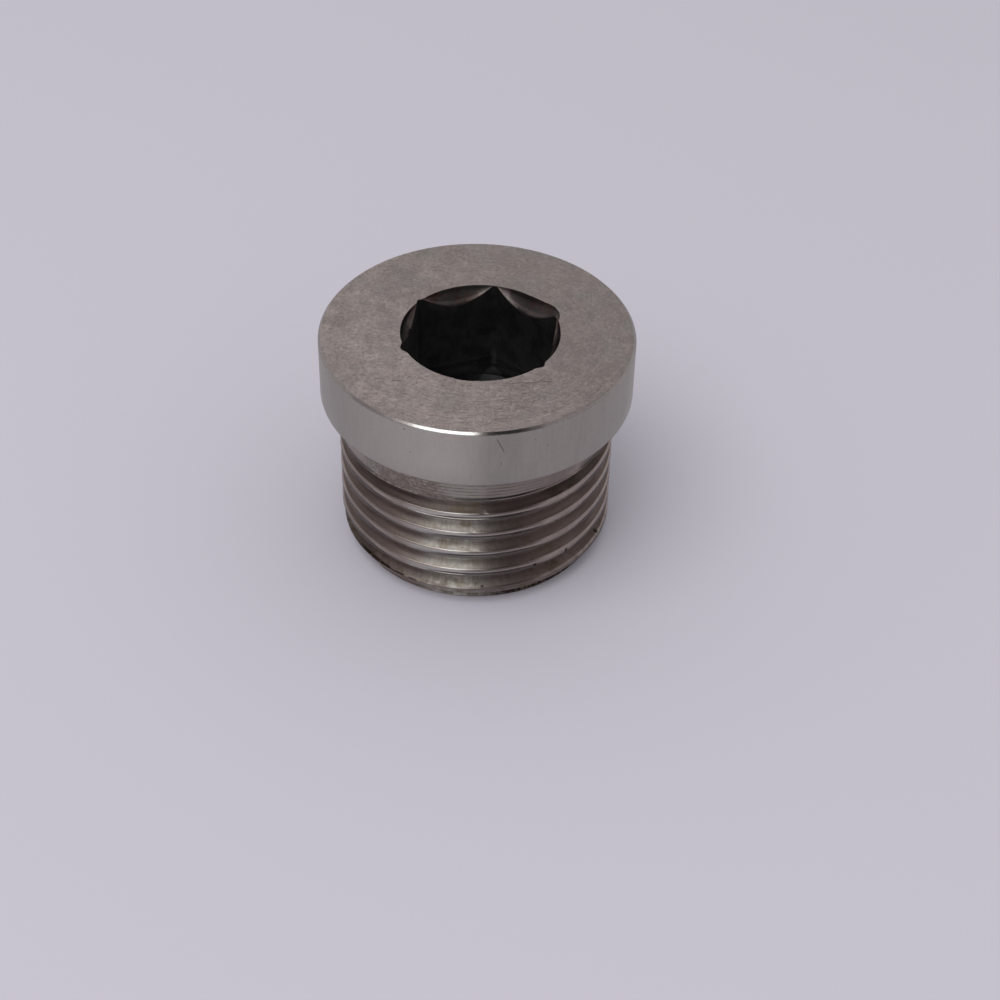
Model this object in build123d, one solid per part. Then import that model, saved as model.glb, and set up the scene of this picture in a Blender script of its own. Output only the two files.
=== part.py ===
from build123d import *
import math
import os

# Hex socket plug: a round collar over a parallel pipe thread, turned in one piece from round bar.
# Millimetres, +Z up. The origin is the centre of the thread end, the face that it stands on.

# --- collar and overall height ---
total_height = 17.5
collar_diameter = 23.0
collar_height = 4.7
collar_edge_chamfer = 0.2
seat_corner_radius = 0.15

# --- thread: right hand, 55 degree Whitworth form, 14 to the inch, with blunt crests ---
crest_diameter = 20.4
thread_depth = 0.885
thread_pitch = 1.814
flank_angle = 55.0
root_radius_in_pitches = 0.1373
end_chamfer_angle = 30.0

# --- run-out: the groove climbs out of the shank, leaving it plain below the collar ---
plain_shank_height = 2.15
run_out_sweep = 80.0
run_out_start_angle = 62.0

# --- socket: a broached hexagon over a drilled hole, with a conical mouth ---
socket_across_flats = 10.1
socket_depth = 6.5
socket_mouth_angle = 60.0
mouth_corner_margin = 0.066
pilot_flat_margin = 0.05
pilot_extra_depth = 1.1
drill_point_angle = 118.0

# --- how far a cutting shape reaches past the surface that it enters ---
tool_overrun = 0.3

FULL_TURN = 360.0
HEXAGON_SIDES = 6

crest_radius = crest_diameter / 2
root_radius = crest_radius - thread_depth
collar_radius = collar_diameter / 2
seat_height = total_height - collar_height
seat_width = collar_radius - crest_radius


def tan_half(angle):
    """Tangent of half an included angle given in degrees."""
    return math.tan(math.radians(angle / 2))


def turned_blank():
    """Collar, plain shank and lead-in chamfer, revolved from one outline."""
    end_chamfer_height = thread_depth / math.tan(math.radians(end_chamfer_angle))
    corner_radius = min(seat_corner_radius, seat_width / 2)
    seat_corner = (crest_radius + corner_radius, seat_height)
    with BuildPart() as blank:
        with BuildSketch(Plane.XZ):
            with BuildLine():
                shank = Polyline(
                    (0, 0),
                    (root_radius, 0),
                    (crest_radius, end_chamfer_height),
                    (crest_radius, seat_height - corner_radius),
                )
                RadiusArc(shank @ 1, seat_corner, corner_radius)
                Polyline(
                    seat_corner,
                    (collar_radius, seat_height),
                    (collar_radius, total_height - collar_edge_chamfer),
                    (collar_radius - collar_edge_chamfer, total_height),
                    (0, total_height),
                    (0, 0),
                )
            make_face()
        revolve(axis=Axis.Z)
    return blank.part


def groove_profile():
    """One thread groove in the axial plane: two straight flanks tangent to a round root."""
    round_root = root_radius_in_pitches * thread_pitch
    half_flank = math.radians(flank_angle / 2)
    tangent_x = root_radius + round_root * (1 - math.sin(half_flank))
    tangent_z = round_root * math.cos(half_flank)
    outer_x = crest_radius + tool_overrun
    outer_z = tangent_z + (outer_x - tangent_x) * math.tan(half_flank)
    with BuildSketch(Plane.XZ) as profile:
        with BuildLine():
            Polyline(
                (tangent_x, -tangent_z),
                (outer_x, -outer_z),
                (outer_x, outer_z),
                (tangent_x, tangent_z),
            )
            ThreePointArc(
                (tangent_x, tangent_z),
                (root_radius, 0),
                (tangent_x, -tangent_z),
            )
        make_face()
    return profile.sketch


def thread_cutters():
    """The groove: one full turn repeated down past the thread end, and a run-out on top.

    The run-out follows a conical helix, so the same profile climbs until it is clear of
    the shank."""
    profile = groove_profile()
    run_out_rise = thread_pitch * run_out_sweep / FULL_TURN
    run_out_height = seat_height - plain_shank_height - run_out_rise
    full_turn = sweep(profile, Helix(thread_pitch, thread_pitch, root_radius), is_frenet=True)
    turn_count = math.ceil(run_out_height / thread_pitch) + 1
    cutters = []
    for turn in range(1, turn_count + 1):
        cutters.append(Pos(0, 0, run_out_height - turn * thread_pitch) * full_turn)

    climb = thread_depth + tool_overrun
    cone_angle = math.atan2(climb, run_out_rise)
    slant_pitch = thread_pitch / math.cos(cone_angle)
    lift = Helix(slant_pitch, run_out_rise, root_radius, cone_angle=math.degrees(cone_angle))
    run_out = sweep(profile, lift, is_frenet=True)
    cutters.append(Pos(0, 0, run_out_height) * run_out)
    return [Rot(0, 0, run_out_start_angle) * cutter for cutter in cutters]


def socket_cutter():
    """What the drill, the countersink and the hexagonal broach take away."""
    flat_radius = socket_across_flats / 2
    corner_radius = flat_radius / math.cos(math.pi / HEXAGON_SIDES)
    mouth_radius = corner_radius - mouth_corner_margin
    pilot_radius = flat_radius - pilot_flat_margin
    pilot_floor = total_height - socket_depth - pilot_extra_depth
    drill_point_height = pilot_radius / tan_half(drill_point_angle)
    top = total_height + tool_overrun
    cone_radius = mouth_radius + tool_overrun * tan_half(socket_mouth_angle)
    cone_height = cone_radius / tan_half(socket_mouth_angle)
    with BuildPart() as cutter:
        with BuildSketch(Plane.XZ):
            Polygon(
                (0, pilot_floor - drill_point_height),
                (pilot_radius, pilot_floor),
                (pilot_radius, top),
                (0, top),
                align=None,
            )
            Polygon(
                (0, top - cone_height),
                (cone_radius, top),
                (0, top),
                align=None,
            )
        revolve(axis=Axis.Z)
        with BuildSketch(Plane.XY.offset(total_height - socket_depth)):
            RegularPolygon(
                flat_radius,
                HEXAGON_SIDES,
                major_radius=False,
                rotation=FULL_TURN / HEXAGON_SIDES / 2,
            )
        extrude(amount=socket_depth + tool_overrun)
    return cutter.part


plug_body = turned_blank() - thread_cutters() - socket_cutter()

os.makedirs("parts", exist_ok=True)
export_step(plug_body, "parts/plug_body.step")
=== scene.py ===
"""Hex socket plug: a turned steel screw plug with a collar, a pipe thread and a hexagon socket.

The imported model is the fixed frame. The plug's body is one closed skin worked out in numpy, with
the burrs, tool rings and worn edges that the plain solid leaves out, and it stands for the solid.
"""

import functools
import math
from collections import namedtuple

import bpy
import numpy as np
from bpy.props import FloatProperty, FloatVectorProperty, IntProperty, PointerProperty
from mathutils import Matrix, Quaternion, Vector


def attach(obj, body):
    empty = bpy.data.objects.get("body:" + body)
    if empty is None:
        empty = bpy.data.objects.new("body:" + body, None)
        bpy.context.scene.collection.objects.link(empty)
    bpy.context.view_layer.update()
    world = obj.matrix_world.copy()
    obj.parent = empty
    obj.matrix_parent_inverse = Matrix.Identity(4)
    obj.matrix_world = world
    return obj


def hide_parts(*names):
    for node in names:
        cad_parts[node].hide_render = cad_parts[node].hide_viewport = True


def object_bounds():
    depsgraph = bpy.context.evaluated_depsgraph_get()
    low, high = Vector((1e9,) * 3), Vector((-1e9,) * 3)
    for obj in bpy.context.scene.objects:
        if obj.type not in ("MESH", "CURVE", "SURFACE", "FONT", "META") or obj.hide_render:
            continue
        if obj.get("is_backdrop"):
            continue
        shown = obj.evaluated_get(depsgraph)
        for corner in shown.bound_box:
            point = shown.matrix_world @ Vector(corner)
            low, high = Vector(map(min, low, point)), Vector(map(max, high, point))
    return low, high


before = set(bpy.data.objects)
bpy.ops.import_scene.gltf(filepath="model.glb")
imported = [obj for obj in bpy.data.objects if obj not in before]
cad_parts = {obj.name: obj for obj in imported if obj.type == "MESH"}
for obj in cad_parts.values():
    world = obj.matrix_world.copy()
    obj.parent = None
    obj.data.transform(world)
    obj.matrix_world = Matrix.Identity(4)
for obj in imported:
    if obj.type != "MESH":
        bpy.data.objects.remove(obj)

bl_info = {
    "name": "Hex Socket Plug",
    "version": (1, 0, 0),
    "blender": (4, 5, 0),
    "location": "View3D > Sidebar > Plug",
    "description": "Builds a turned steel hex socket plug with a true helical pipe thread",
    "category": "Add Mesh",
}

NODE = "plug_body"
MM = 0.001
CAD_LOW, CAD_HIGH = (np.array(corner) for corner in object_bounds())

# Sizes of the solid, in millimetres. The collar and the height come from the frame itself.
COLLAR_RADIUS = float(min(*CAD_HIGH[:2], *-CAD_LOW[:2]) / MM)
TOTAL_HEIGHT = float(CAD_HIGH[2] / MM)
COLLAR_HEIGHT = 4.7
SEAT_CORNER = 0.15
CREST_RADIUS = 10.2
THREAD_DEPTH = 0.885
ROOT_RADIUS = CREST_RADIUS - THREAD_DEPTH
PITCH = 1.814
HALF_FLANK = math.radians(27.5)
ROUND_ROOT = 0.1373 * PITCH
END_SLOPE = math.tan(math.radians(30))
SEAT_Z = TOTAL_HEIGHT - COLLAR_HEIGHT
RUN_OUT_START = math.radians(62)
RUN_OUT_SWEEP = math.radians(80)
RUN_OUT_END_Z = SEAT_Z - 2.15
RUN_OUT_Z = RUN_OUT_END_Z - PITCH * RUN_OUT_SWEEP / math.tau
RUN_OUT_CLIMB = THREAD_DEPTH + 0.3
SOCKET_FLOOR = TOTAL_HEIGHT - 6.5
PILOT_RADIUS = 5.0
PILOT_FLOOR = SOCKET_FLOOR - 1.1
DRILL_SLOPE = math.tan(math.radians(59))
SIXTH = math.pi / 3

# Where the round root meets the flanks, from the groove's middle and above its floor.
TANGENT_Z = ROUND_ROOT * math.cos(HALF_FLANK)
TANGENT_R = ROUND_ROOT * (1.0 - math.sin(HALF_FLANK))

# What use and loose work have made of them. The edge round the head is worn: its outline is
# given in from the side and down from the top. The socket is a little wide and sits off the axis.
# Some of its corners are blunt, and one is torn open: degrees round the axis, and by how much.
WORN_EDGE = (
    (0.0, 0.26),
    (0.003, 0.23),
    (0.01, 0.205),
    (0.03, 0.186),
    (0.16, 0.065),
    (0.18, 0.046),
    (0.195, 0.0),
)
FLAT_RADIUS = 5.2
CORNER_RADII = (5.9, 5.9, 6.0, 5.93, 5.67, 5.97)
SOCKET_SHIFT = (0.17, -0.03)
SOCKET_TURN = math.radians(0.6)
MOUTH_RADIUS = 5.77
MOUTH_SHIFT = (0.20, 0.12)
MOUTH_SLOPE = 0.58
TORN_CORNER = (
    (16, 0.0),
    (26, 0.05),
    (30, 0.27),
    (34, 0.45),
    (41, 0.48),
    (45, 0.36),
    (49, 0.2),
    (57, 0.06),
    (62, 0.0),
)

# Down the countersunk mouth: share of its depth, and share of its way in to the hexagon's flat.
MOUTH_CURVE = ((0.0, 0.0), (0.2, 0.08), (0.36, 0.2), (0.5, 0.36), (0.75, 0.66), (0.97, 0.99))

# Heights between which the glossy cut along the collar's upper edge, with its painted highlight,
# begins.
CUT_LOW, CUT_HIGH = 17.22, 17.27

# The dim wedge of light in the socket: the way it faces, its top, and its spread as it falls.
WEDGE_WAY = Vector((0.05, 0.999, 0.0))
WEDGE_TOP = 10.95
WEDGE_SPREAD = 0.17

# The way across the head in which painted light makes it lighter.
PAINTED_LIGHT_WAY = Vector((-0.9, -0.44, 0.0))

# Across the thread end: distance from the axis, and height.
END_FACE = ((0.0, 0.0), (4.0, 0.0), (7.5, 0.0), (9.1, 0.0), (9.24, 0.0), (9.29, 0.014))

# The tool rings of the plain shank: height of the lowest, feed, number and half of their width.
RING_START = 9.66
RING_FEED = 0.278
RING_COUNT = 10
RING_HALF_WIDTH = 0.06

# Along a crest: distance from the groove below it, and how far the surface falls under the
# crest radius, on an ordinary crest and along the foot of the plain shank. A crest has a lip and
# a hollow near its lower edge and is rounded into the flank above it.
CREST_ROWS = (
    (0.0, 0.03, 0.02),
    (0.05, 0.01, -0.01),
    (0.09, -0.006, -0.015),
    (0.15, -0.004, 0.0),
    (0.19, 0.03, 0.045),
    (0.26, 0.034, 0.045),
    (0.30, 0.002, 0.004),
    (0.481, 0.0, 0.0),
    (0.529, 0.0065, 0.0),
    (0.574, 0.026, 0.0),
    (0.612, 0.057, 0.0),
    (0.641, 0.098, 0.0),
)

# Rows below the half keep to the crest's lower edge, and the others to its upper edge. Nicks
# reach as far as the lips, and tears move the lower edge by up to their width.
HALF_CREST = 0.35
LOWER_LIP = 0.1
UPPER_LIP = 0.5
TEAR_WIDTH = 0.0325

# Up a flank: share of the way from the root to the crest, where a row lies.
FLANK_SHARES = (0.85, 0.60, 0.33, 0.12)

# How far above the highest groove the rows stop following the thread.
SHANK_MARGIN = 0.34

# Directions of the side where the painted highlights lie and of the camera, in degrees from the X
# axis.
HIGHLIGHT_SIDE = -82.0
CAMERA_SIDE = -78.7
CAMERA_AZIMUTH = math.radians(CAMERA_SIDE)

# How the skin is divided. A turn of the thread has three rows up the round root, those of the
# crest and of the flank, and two down into the next root.
COLUMNS = 480
TURNS = 7
ROWS_A_TURN = 3 + len(CREST_ROWS) + len(FLANK_SHARES) + 2
LOWEST_Z = 0.05
SHARP = math.radians(38)

# Rows nearer than this to a limit are moved onto it, and points this near each other are one.
SNAP = 0.004
TOUCHING = 1e-4

# How many random values a line of noise has, and the steps that settle where a groove ends.
NOISE_VALUES = 8192
SETTLING_STEPS = 24

# The finishes of the skin, from the thread end up. A row of it has its heights and radii, its
# finish, and how far down the mouth it lies.
FINISHES = ("end", "thread", "collar", "head", "mouth", "socket")
Row = namedtuple("Row", "z r finish share", defaults=(0.0,))

# Settings that properties of one kind share.
LENGTH = {"precision": 6, "unit": "LENGTH"}
COLOUR = {"subtype": "COLOR", "min": 0.0, "max": 1.0}


class PlugSizes(bpy.types.PropertyGroup):
    """Fine sizes that the plain solid leaves out."""

    relief: FloatProperty(
        name="Crest relief",
        description="Strength of the rounding, hollow and lip along the thread crests",
        default=1.0,
        min=0.0,
        max=1.5,
    )
    hollow: FloatProperty(
        name="Flank hollow",
        description="How far the thread's flanks are dished between the root and the crest",
        default=0.024 * MM,
        min=0.0,
        max=0.05 * MM,
        **LENGTH,
    )
    ring_depth: FloatProperty(
        name="Tool ring depth",
        description="Depth of the turning rings on the plain shank under the collar",
        default=0.022 * MM,
        min=0.0,
        max=0.1 * MM,
        **LENGTH,
    )
    ring_spacing: FloatProperty(
        name="Tool ring spacing",
        description="Feed of the turning tool, from one ring to the next",
        default=RING_FEED * MM,
        min=0.1 * MM,
        max=1.0 * MM,
        **LENGTH,
    )
    edge_break: FloatProperty(
        name="Edge break",
        description="Width of the worn break along the collar's and socket's edges",
        default=0.04 * MM,
        min=0.005 * MM,
        max=0.1 * MM,
        **LENGTH,
    )
    nicks: FloatProperty(
        name="Nick depth",
        description="Depth of the nicks and torn spots along the thread crests",
        default=0.05 * MM,
        min=0.0,
        max=0.2 * MM,
        **LENGTH,
    )
    wear_seed: IntProperty(
        name="Wear seed",
        description="Which set of nicks and ring marks the plug wears",
        default=7,
        min=0,
    )


class PlugFinish(bpy.types.PropertyGroup):
    """Colours of the metal and of the studio."""

    steel: FloatVectorProperty(
        name="Turned steel",
        description="Colour of the turned collar and head",
        default=(0.388, 0.335, 0.315),
        **COLOUR,
    )
    crest: FloatVectorProperty(
        name="Worn crests",
        description="Colour of the bright, worn thread crests",
        default=(0.36, 0.30, 0.268),
        **COLOUR,
    )
    flank: FloatVectorProperty(
        name="Thread flanks",
        description="Colour of the stained thread flanks",
        default=(0.236, 0.186, 0.166),
        **COLOUR,
    )
    socket: FloatVectorProperty(
        name="Socket walls",
        description="Colour of the dark, oily socket walls",
        default=(0.10, 0.095, 0.095),
        **COLOUR,
    )
    floor: FloatVectorProperty(
        name="Floor",
        description="Colour of the pale floor",
        default=(0.52, 0.50, 0.565),
        **COLOUR,
    )


# ---------------------------------------------------------------- curves and noise


def smooth_step(value, low, high):
    """0 below low, 1 above high, and a smooth cubic rise between them."""
    t = np.clip((value - low) / (high - low), 0.0, 1.0)
    return t * t * (3.0 - 2.0 * t)


def wander(position, per_unit, seed, period=None):
    """Smooth noise between -1 and 1 along a line.

    Seeded random values stand per_unit to a unit of position, and the values between them are
    blended with a smooth cubic. With a period, the values repeat after that many."""
    values = np.random.default_rng(seed).uniform(-1.0, 1.0, NOISE_VALUES)
    along = position * per_unit
    start = np.floor(along).astype(int)
    rise = smooth_step(along - start, 0.0, 1.0)
    wrap = period or values.size
    return values[start % wrap] * (1.0 - rise) + values[(start + 1) % wrap] * rise


def peaks(position, per_unit, seed, level):
    """The noise above a level, stretched to go from 0 to 1."""
    return np.clip(wander(position, per_unit, seed) - level, 0.0, 1.0) / (1.0 - level)


def blank_radius(z):
    """Radius of the turned blank: it rises from the root radius up the end chamfer to the
    crest radius, and stays there."""
    return np.minimum(CREST_RADIUS, ROOT_RADIUS + np.maximum(z, 0.0) * END_SLOPE)


def groove_half_width(depth):
    """Half the width of the groove where it is cut to this depth: the chord of the round root
    while shallow, then the straight flanks at half the thread angle."""
    arc = np.sqrt(np.maximum(ROUND_ROOT**2 - (ROUND_ROOT - np.clip(depth, 0, TANGENT_R)) ** 2, 0))
    flank = TANGENT_Z + (depth - TANGENT_R) * math.tan(HALF_FLANK)
    return np.where(depth > TANGENT_R, flank, arc)


def groove_height(offset):
    """Height of the groove's surface above its floor, this far from its middle."""
    inside = np.minimum(offset, TANGENT_Z)
    arc = ROUND_ROOT - np.sqrt(np.maximum(ROUND_ROOT**2 - inside**2, 0.0))
    flank = TANGENT_R + (offset - TANGENT_Z) / math.tan(HALF_FLANK)
    return np.where(offset > TANGENT_Z, flank, arc)


def groove_middle(angle):
    """Height of the groove's middle at an angle counted on from turn to turn: it climbs one
    pitch a turn and passes the run-out's start in the last turn."""
    return RUN_OUT_Z + PITCH * (angle - RUN_OUT_START - TURNS * math.tau) / math.tau


def groove_lift(angle):
    """How far the run-out has lifted the groove's floor: nothing up to its start, and then a
    straight climb that leaves the shank."""
    past = (angle - RUN_OUT_START - TURNS * math.tau) / RUN_OUT_SWEEP
    return np.maximum(past, 0.0) * RUN_OUT_CLIMB


def groove_edges(angle):
    """How far below and above its middle the groove meets the blank.

    Where the blank is a cone the meeting point moves the radius that sets it, so both are
    found by repeating the step until they settle."""
    middle, floor = groove_middle(angle), ROOT_RADIUS + groove_lift(angle)
    below, above = np.full_like(angle, 0.6), np.full_like(angle, 0.6)
    for _ in range(SETTLING_STEPS):
        below = groove_half_width(blank_radius(middle - below) - floor)
        above = groove_half_width(blank_radius(middle + above) - floor)
    return below, above


# Where a full groove meets the crest, above and below its middle, and the crest between.
GROOVE_EDGE = float(groove_half_width(np.array(THREAD_DEPTH)))
CREST_WIDTH = PITCH - 2 * GROOVE_EDGE


# ---------------------------------------------------------------- the plug's profile


def tool_rings(z, theta, sizes):
    """Radius of the plain shank against the crest radius: shallow V rings at the tool's feed,
    of uneven depth, that fade in and out around the shank."""
    spacing = sizes.ring_spacing / MM
    feeds = (z - RING_START) / spacing
    ring = np.round(feeds)
    off = np.abs(feeds - ring) * spacing
    uneven = 0.75 + 0.45 * wander(theta / math.tau + ring * 0.37, 24, sizes.wear_seed + 1, 24)
    strength = 0.6 + 0.4 * wander(ring, 1, sizes.wear_seed + 2)
    facing = 0.4 + 0.6 * smooth_step(np.cos(theta - math.radians(HIGHLIGHT_SIDE)), 0.6, 0.92)
    notch = np.clip(1.0 - off / RING_HALF_WIDTH, 0.0, 1.0)
    return -sizes.ring_depth / MM * uneven * strength * facing * notch


def thread_rows(theta, sizes):
    """Heights and radii of the rows that follow the thread, for every column.

    Each turn gives a fixed set of rows: the round root, the flank above it, the crest with a
    burr at each edge, and the flank down to the next root. Every row keeps its place in the
    groove, so it climbs one pitch a turn and meets its own neighbour at the seam. Noise along
    the thread is given in values a turn."""
    angle = theta[:, None] + np.arange(TURNS + 1) * math.tau
    next_angle = angle + math.tau
    middle, next_middle = groove_middle(angle), groove_middle(next_angle)
    floor, next_floor = (ROOT_RADIUS + groove_lift(part) for part in (angle, next_angle))
    _, above = groove_edges(angle)
    next_below, _ = groove_edges(next_angle)

    turn, seed = angle / math.tau, sizes.wear_seed
    torn = peaks(turn, 220, seed + 3, 0.35) * smooth_step(wander(turn, 9, seed + 4), -0.2, 0.6)
    live = above > 0.05
    above = above + torn * live * TEAR_WIDTH
    root, next_root = np.minimum(TANGENT_Z, above), np.minimum(TANGENT_Z, next_below)
    low_edge, high_edge = middle + above, next_middle - next_below
    fit = np.clip((high_edge - low_edge) / CREST_WIDTH, 0.0, 1.0)
    crested = smooth_step(next_below, 0.05, 0.45)
    straight = smooth_step(low_edge, 1.2, 1.7)
    wear = 1.0 + 0.4 * wander(turn, 37, seed + 5)
    low_nick = peaks(turn, 150, seed + 6, 0.72) * sizes.nicks / MM
    high_nick = peaks(turn, 130, seed + 8, 0.75) * sizes.nicks / MM

    heights, radii = [], []
    for off in (0 * root, root / 2, root):
        heights.append(middle + off)
        radii.append(np.minimum(floor + groove_height(off), blank_radius(middle + off)))
    for across, crest_drop, shank_drop in CREST_ROWS:
        drop = (crest_drop * crested + shank_drop * (1.0 - crested)) * sizes.relief
        over = across - CREST_WIDTH
        if across < HALF_CREST:
            z = low_edge + across * fit
            drop = drop * wear * live + low_nick * (across < LOWER_LIP)
            radius = blank_radius(z) - drop * straight
        else:
            z = high_edge + over * (crested if over > 0 else fit)
            drop = drop + high_nick * (across > UPPER_LIP)
            rings = tool_rings(z, theta[:, None], sizes) * (1.0 - crested)
            radius = blank_radius(z) - drop * straight + rings
        if over > 0:
            radius = np.minimum(radius, next_floor + groove_height(np.abs(next_middle - z)))
        heights.append(z)
        radii.append(radius)
    dish = sizes.hollow / MM * crested * straight
    run = next_below - next_root
    tail = [(next_root + run * share, 4 * share * (1 - share)) for share in FLANK_SHARES]
    for off, bow in (*tail, (next_root, 0.0), (next_root / 2, 0.0)):
        z = next_middle - off
        heights.append(z)
        radii.append(np.minimum(next_floor + groove_height(off) - bow * dish, blank_radius(z)))
    return tuple(np.stack(part, axis=2).reshape(theta.size, -1) for part in (heights, radii))


def shank_start(theta):
    """Height where the rows stop following the thread, for every column.

    It keeps a margin above the top groove's upper edge. Past the run-out's end it comes down
    smoothly to the turn below."""
    vanish = RUN_OUT_START + RUN_OUT_SWEEP * THREAD_DEPTH / RUN_OUT_CLIMB
    past = np.mod(theta - vanish, math.tau)
    angle = vanish + past + (TURNS - 1) * math.tau
    _, above = groove_edges(angle)
    edge = groove_middle(angle) + above + SHANK_MARGIN
    top = groove_middle(np.array([vanish + TURNS * math.tau])) + SHANK_MARGIN
    ease = 1.0 - smooth_step(past, 0.0, math.radians(100))
    return edge + (np.maximum(top, edge) - edge) * ease


def end_rows():
    """The thread end, from its middle out to the foot of the end chamfer."""
    for radius, z in END_FACE:
        yield Row(z, radius, "end")
    yield Row(LOWEST_Z, ROOT_RADIUS, "end")


def shank_rows(theta, sizes):
    """The thread, then the plain shank with its tool rings, and the corner under the collar.

    The thread's rows are cut off level with the thread end and at the shank's start."""
    start = shank_start(theta)
    start_r = CREST_RADIUS + tool_rings(start, theta, sizes)
    z, r = thread_rows(theta, sizes)
    below, over = z < LOWEST_Z + SNAP, z > start[:, None] - SNAP
    z = np.where(below, LOWEST_Z, np.where(over, start[:, None], z))
    r = np.where(below, ROOT_RADIUS, np.where(over, start_r[:, None], r))
    for heights, radii in zip(np.maximum.accumulate(z, axis=1).T, r.T):
        yield Row(heights, radii, "thread")
    yield Row(start, start_r, "thread")
    for count in range(RING_COUNT):
        for part in (-RING_HALF_WIDTH, 0.0, RING_HALF_WIDTH):
            level = RING_START + count * sizes.ring_spacing / MM + part
            level = np.where(level < start + SNAP, start, level)
            yield Row(level, CREST_RADIUS + tool_rings(level, theta, sizes), "thread")
    for sweep in np.linspace(0.0, math.pi / 2, 5):
        up, out = SEAT_CORNER * math.sin(sweep), SEAT_CORNER * (1.0 - math.cos(sweep))
        yield Row(SEAT_Z - SEAT_CORNER + up, CREST_RADIUS + out, "thread")


def collar_rows(theta, sizes):
    """The collar's seat edge, broken unevenly, its side, and the worn edge round the head."""
    dent = 1.0 + 0.6 * wander(theta / math.tau, 90, sizes.wear_seed + 9, 90)
    broken = sizes.edge_break / MM * dent
    for inward, up in ((1.0, 0.0), (0.3, 0.3), (0.0, 1.0)):
        yield Row(SEAT_Z + broken * up, COLLAR_RADIUS - broken * inward, "collar")
    for share in (0.33, 0.66):
        yield Row(SEAT_Z + share * COLLAR_HEIGHT, COLLAR_RADIUS, "collar")
    for inward, down in WORN_EDGE[:-1]:
        yield Row(TOTAL_HEIGHT - down, COLLAR_RADIUS - inward, "collar")


def off_axis_circle(theta, radius, shift):
    """Distance from the axis to a circle whose centre is shifted, in each direction: the far
    root of the law of cosines."""
    along = shift[0] * np.cos(theta) + shift[1] * np.sin(theta)
    across = shift[1] * np.cos(theta) - shift[0] * np.sin(theta)
    return along + np.sqrt(radius**2 - across**2)


def hexagon(theta):
    """Distance from the axis to the hexagon: the nearest of its six flats in each direction,
    each a line at the flat's distance from the shifted centre. A circle blunts each corner."""
    normals = SOCKET_TURN + np.arange(6) * SIXTH
    reach = FLAT_RADIUS + SOCKET_SHIFT[0] * np.cos(normals) + SOCKET_SHIFT[1] * np.sin(normals)
    lean = np.maximum(np.cos(theta[:, None] - normals), 0.01)
    corner = np.floor(np.mod(theta - SOCKET_TURN, math.tau) / SIXTH).astype(int) % 6
    blunt = off_axis_circle(theta, np.array(CORNER_RADII)[corner], SOCKET_SHIFT)
    return np.minimum((reach / lean).min(axis=1), blunt)


def socket_rows(theta, sizes):
    """The head, the torn and countersunk mouth, the hexagon, and the drilled hole to its point."""
    edge = sizes.edge_break / MM
    outer = COLLAR_RADIUS - WORN_EDGE[-1][0]
    flat, pilot = hexagon(theta), off_axis_circle(theta, PILOT_RADIUS, SOCKET_SHIFT)
    mouth = off_axis_circle(theta, MOUTH_RADIUS, MOUTH_SHIFT)
    rim = np.maximum(mouth, flat) + np.interp(np.degrees(theta), *zip(*TORN_CORNER))
    low = TOTAL_HEIGHT - np.maximum((mouth - flat) / MOUTH_SLOPE, edge)
    for share in (0.0, 0.3, 0.6, 0.85, 1.0):
        yield Row(TOTAL_HEIGHT, outer + (rim + edge - outer) * share, "head")
    yield Row(TOTAL_HEIGHT - 0.25 * edge, rim + 0.3 * edge, "mouth")
    for share, inward in MOUTH_CURVE:
        level = TOTAL_HEIGHT - edge - (TOTAL_HEIGHT - edge - low) * share
        yield Row(level, rim + (flat - rim) * inward, "mouth", share)
    yield Row(low - edge, flat, "socket", 1.0)
    for share in (0.4, 0.8, 1.0):
        yield Row(low - edge - (low - edge - SOCKET_FLOOR) * share, flat, "socket")
    yield Row(SOCKET_FLOOR, pilot, "socket")
    for share in (0.0, 0.4, 0.8, 1.0):
        yield Row(PILOT_FLOOR - pilot * share / DRILL_SLOPE, pilot * (1.0 - share), "socket")


def plug_skin(sizes):
    """Points in millimetres, how far down the mouth each lies, corners of the faces, and the
    finish of each face.

    A column runs from the middle of the thread end, out and up the thread, round the collar,
    over the head and down the socket to the drill point. All columns have the same rows, and
    rows that a column has no room for lie on their neighbours. Points that lie on the one
    before them in their column are the same point. The last column is the first again: a
    thread row meets the row one turn above it, and any other row meets itself. So the skin
    closes round the plug, and at the middle of each end."""
    theta = np.arange(COLUMNS) * (math.tau / COLUMNS)
    skin = [*end_rows(), *shank_rows(theta, sizes), *collar_rows(theta, sizes)]
    skin += socket_rows(theta, sizes)
    rows = len(skin)
    z, r = (
        np.stack([np.broadcast_to(row[part], theta.shape) for row in skin], axis=1)
        for part in (0, 1)
    )
    across = theta[:, None]
    points = np.stack([r * np.cos(across), r * np.sin(across), z], axis=2)
    fresh = np.ones((COLUMNS, rows), dtype=bool)
    fresh[:, 1:] = np.linalg.norm(np.diff(points, axis=1), axis=2) > TOUCHING
    ids = np.cumsum(fresh.ravel()).reshape(COLUMNS, rows) - 1
    ids[:, 0] = ids[0, 0]
    ids[:, -1] = ids[0, -1]

    finish = [FINISHES.index(row.finish) for row in skin]
    first = finish.index(FINISHES.index("thread"))
    last = first + ROWS_A_TURN * (TURNS + 1)
    order = np.arange(rows)
    follows = (order >= first) & (order < last)
    meets = np.where(follows, np.minimum(order + ROWS_A_TURN, last), order)
    right = np.vstack([ids[1:], ids[0][meets]])
    corners = np.stack([ids[:, :-1], right[:, :-1], right[:, 1:], ids[:, 1:]], axis=2)
    share = np.tile([row.share for row in skin], (COLUMNS, 1))[fresh]
    return points[fresh], share, corners.reshape(-1, 4), np.tile(finish[1:], COLUMNS)


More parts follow.
